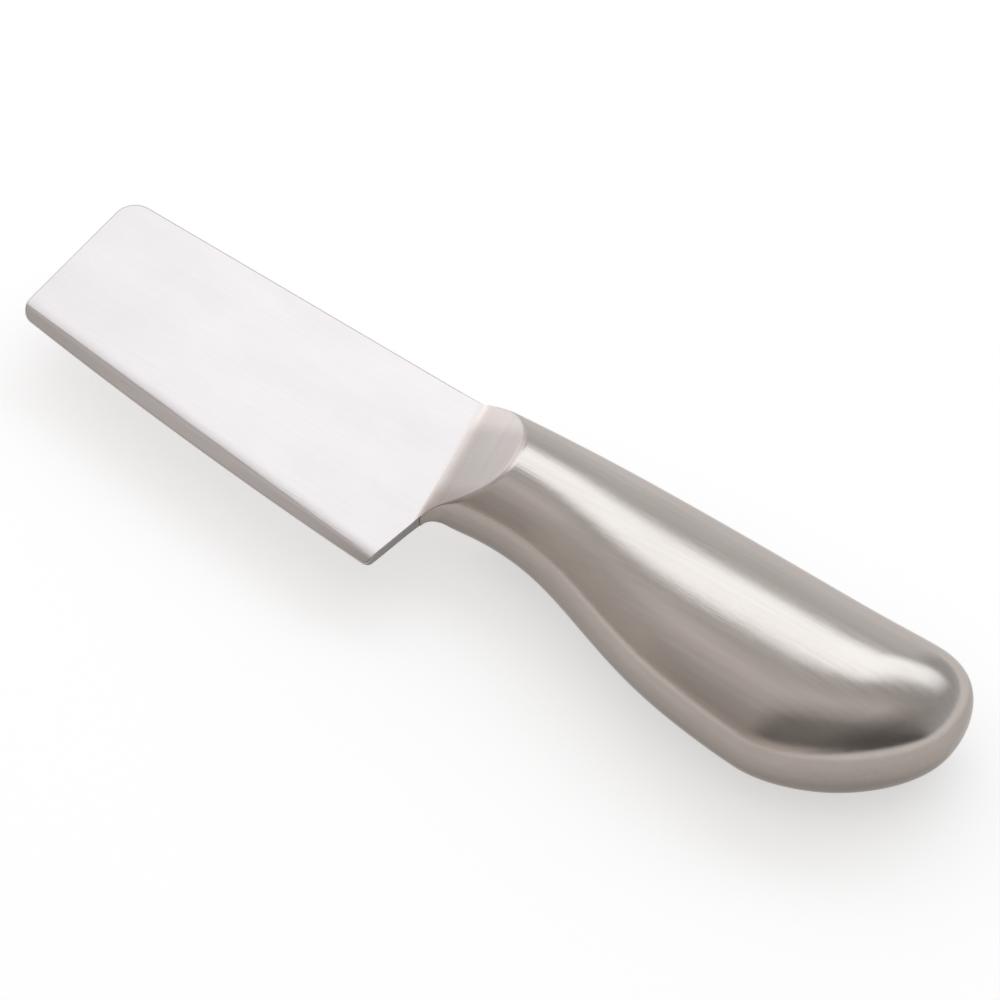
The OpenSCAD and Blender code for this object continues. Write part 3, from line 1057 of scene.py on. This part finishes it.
def add_floor():
    """A wide pale floor that looks near white to the camera and in reflections."""
    mesh = bpy.data.meshes.new("floor")
    h = FLOOR_SIZE / 2
    mesh.from_pydata([(-h, -h, 0), (h, -h, 0), (h, h, 0), (-h, h, 0)], [], [(0, 1, 2, 3)])
    floor = bpy.data.objects.new("floor", mesh)
    bpy.context.scene.collection.objects.link(floor)
    material, nodes, links, shader = node_tree("floor_paper")
    shader.inputs["Base Color"].default_value = (*FLOOR_COLOR, 1)
    shader.inputs["Roughness"].default_value = 1.0
    shader.inputs["Specular IOR Level"].default_value = 0.0
    path = nodes.new("ShaderNodeLightPath")
    seen = path.outputs["Is Camera Ray"]
    for name in ("Is Glossy Ray", "Is Transmission Ray"):
        seen = number(nodes, links, "MAXIMUM", seen, path.outputs[name])
    shader.inputs["Emission Color"].default_value = WHITE
    glow = number(nodes, links, "MULTIPLY", seen, FLOOR_GLOW)
    links.new(glow, shader.inputs["Emission Strength"])
    mesh.materials.append(material)


# Studio


def direction(tilt, swing):
    """Direction by its tilt from straight up towards the front and its swing to the right."""
    a, b = math.radians(tilt), math.radians(swing)
    return Vector((math.sin(b), -math.sin(a) * math.cos(b), math.cos(a) * math.cos(b)))


# Light of the room by tilt, from the back horizon (-90) over the top to the front horizon (90),
# at five places from the far left to the far right
ROOM_LIGHT = [
    [(-90, 1.17), (-60, 1.14), (-49, 1.16), (-36, 1.1), (-18, 0.9), (-8, 0.65), (90, 0.5)],
    [(-90, 1.1), (-60, 1.03), (-50, 1.15), (-42, 1.55), (-32, 1.6), (-25, 0.98), (-18, 0.76),
     (-10, 0.68), (90, 0.56)],
    [(-90, 1.03), (-74, 0.95), (-62, 0.84), (-12, 0.7), (3, 0.88), (20, 0.7), (45, 0.52),
     (72, 0.46), (90, 0.62)],
    [(-90, 0.8), (-76, 0.62), (-22, 0.6), (0, 0.79), (13, 0.6), (30, 0.3), (68, 0.24),
     (82, 0.66), (90, 0.68)],
    [(-90, 0.75), (-70, 0.61), (-20, 0.51), (0, 0.39), (20, 0.27), (45, 0.16), (90, 0.14)],
]

# Sines of the swings between which each place turns into the next
ROOM_TURNS = [(-0.9, -0.82), (-0.62, -0.5), (-0.22, -0.02), (0.35, 0.75)]
BACK_TINT = (0.893, 0.935, 0.944)
FRONT_TINT = (0.991, 0.935, 0.879)


def room_ramp(nodes, links, share, steps):
    """Colours of the room along the tilt at one place."""
    ramp = nodes.new("ShaderNodeValToRGB")
    stops = []
    for angle, light in steps:
        front = (angle + 90) / 180
        tint = [b + (f - b) * front for b, f in zip(BACK_TINT, FRONT_TINT)]
        stops.append((front, [light * c for c in tint]))
    color_steps(ramp.color_ramp, stops)
    links.new(share, ramp.inputs["Fac"])
    return ramp.outputs["Color"]


def add_room():
    """A soft room that is lighter behind the knife and darker at its right front.

    The camera itself sees plain white where the floor ends."""
    world = bpy.data.worlds.new("room")
    bpy.context.scene.world = world
    world.use_nodes = True
    nodes, links = world.node_tree.nodes, world.node_tree.links
    place = nodes.new("ShaderNodeTexCoord")
    split = nodes.new("ShaderNodeSeparateXYZ")
    links.new(place.outputs["Generated"], split.inputs[0])
    front = number(nodes, links, "MULTIPLY", split.outputs["Y"], -1.0)
    tilt = number(nodes, links, "ARCTAN2", front, split.outputs["Z"])
    share = spread(nodes, links, tilt, -math.pi / 2, math.pi / 2, 0.0, 1.0)
    color = room_ramp(nodes, links, share, ROOM_LIGHT[0])
    for steps, turn in zip(ROOM_LIGHT[1:], ROOM_TURNS):
        side = spread(nodes, links, split.outputs["X"], turn[0], turn[1], 0.0, 1.0)
        color = mixed(nodes, links, side, color, room_ramp(nodes, links, share, steps))
    path = nodes.new("ShaderNodeLightPath")
    backdrop = mixed(nodes, links, path.outputs["Is Camera Ray"], color, WHITE)
    links.new(backdrop, nodes["Background"].inputs["Color"])


# Soft box: tilt and swing of its two ends, their distances and its width in metres, and its light
BOX_RIGHT = (-57, 42)
BOX_LEFT = (-6, -62)
BOX_RIGHT_REACH = 1.1
BOX_LEFT_REACH = 2.2
BOX_WIDTH = 0.335
BOX_LIGHT = 1.27
BOX_COLOR = (0.91, 1.0, 1.055)

# Its light at shares of its length, from the left end to the right end
BOX_FADE = [(0.33, 0.0), (0.585, 1.0), (0.775, 1.0), (1.0, 0.0)]

# Share of its width that is lit at two shares of its length, and the soft part of that
BOX_TAPER = [(0.54, 0.82), (0.66, 1.12)]
BOX_SOFT_EDGE = 0.12


def add_soft_box():
    """A long soft box above and behind the knife, which makes the bright band.

    It fades at both ends, and its back side is drawn in towards the left end."""
    right, left = direction(*BOX_RIGHT) * BOX_RIGHT_REACH, direction(*BOX_LEFT) * BOX_LEFT_REACH
    x_axis = (right - left).normalized()
    y_axis = right.cross(x_axis).normalized()
    z_axis = x_axis.cross(y_axis)
    lamp = bpy.data.lights.new("soft_box", "AREA")
    lamp.shape = "RECTANGLE"
    lamp.size = (right - left).length
    lamp.size_y = BOX_WIDTH
    lamp.energy = BOX_LIGHT * math.pi * lamp.size * lamp.size_y
    lamp.color = BOX_COLOR
    lamp.use_nodes = True
    nodes, links = lamp.node_tree.nodes, lamp.node_tree.links
    place = nodes.new("ShaderNodeNewGeometry")
    split = nodes.new("ShaderNodeSeparateXYZ")
    links.new(place.outputs["Parametric"], split.inputs[0])
    fade = nodes.new("ShaderNodeValToRGB")
    color_steps(fade.color_ramp, [(share, (level,) * 3) for share, level in BOX_FADE])
    links.new(split.outputs["X"], fade.inputs["Fac"])
    (narrow, narrow_limit), (wide, wide_limit) = BOX_TAPER
    limit = spread(nodes, links, split.outputs["X"], narrow, wide, narrow_limit, wide_limit)
    beyond = number(nodes, links, "SUBTRACT", split.outputs["Y"], limit)
    kept = spread(nodes, links, beyond, -BOX_SOFT_EDGE, 0.0, 1.0, 0.0)
    light = number(nodes, links, "MULTIPLY", fade.outputs["Color"], kept)
    links.new(light, nodes["Emission"].inputs["Strength"])
    obj = bpy.data.objects.new("soft_box", lamp)
    bpy.context.scene.collection.objects.link(obj)
    turn = Matrix((x_axis, y_axis, z_axis)).transposed().to_4x4()
    obj.matrix_world = Matrix.Translation((right + left) / 2) @ turn
    obj.visible_camera = False


# Camera: the point that it looks at in the knife's own frame, its direction and distance from
# there in metres, and its lens as a share of the sensor's width

VIEW_TARGET = (68.12, -10.482, 0.0)
VIEW_AZIMUTH = math.radians(36.417)
VIEW_ELEVATION = math.radians(53.738)
VIEW_DISTANCE = 0.7
LENS_SHARE = 5.53295
SENSOR_WIDTH = 36.0
NEAREST_SEEN = 0.05
FARTHEST_SEEN = 20


def add_camera():
    """The photograph's view: the camera stands right, front and above, without roll."""
    data = bpy.data.cameras.new("camera")
    data.sensor_width = SENSOR_WIDTH
    data.lens = LENS_SHARE * SENSOR_WIDTH
    data.clip_start = NEAREST_SEEN
    data.clip_end = FARTHEST_SEEN
    camera = bpy.data.objects.new("camera", data)
    bpy.context.scene.collection.objects.link(camera)
    back = Vector((math.sin(VIEW_AZIMUTH) * math.cos(VIEW_ELEVATION),
                   -math.cos(VIEW_AZIMUTH) * math.cos(VIEW_ELEVATION), math.sin(VIEW_ELEVATION)))
    camera.location = Vector(to_row(VIEW_TARGET)) + back * VIEW_DISTANCE
    camera.rotation_mode = "QUATERNION"
    camera.rotation_quaternion = (-back).to_track_quat("-Z", "Y")
    bpy.context.scene.camera = camera


add_floor()
add_room()
add_soft_box()
add_camera()
bpy.context.scene.view_settings.view_transform = "Standard"
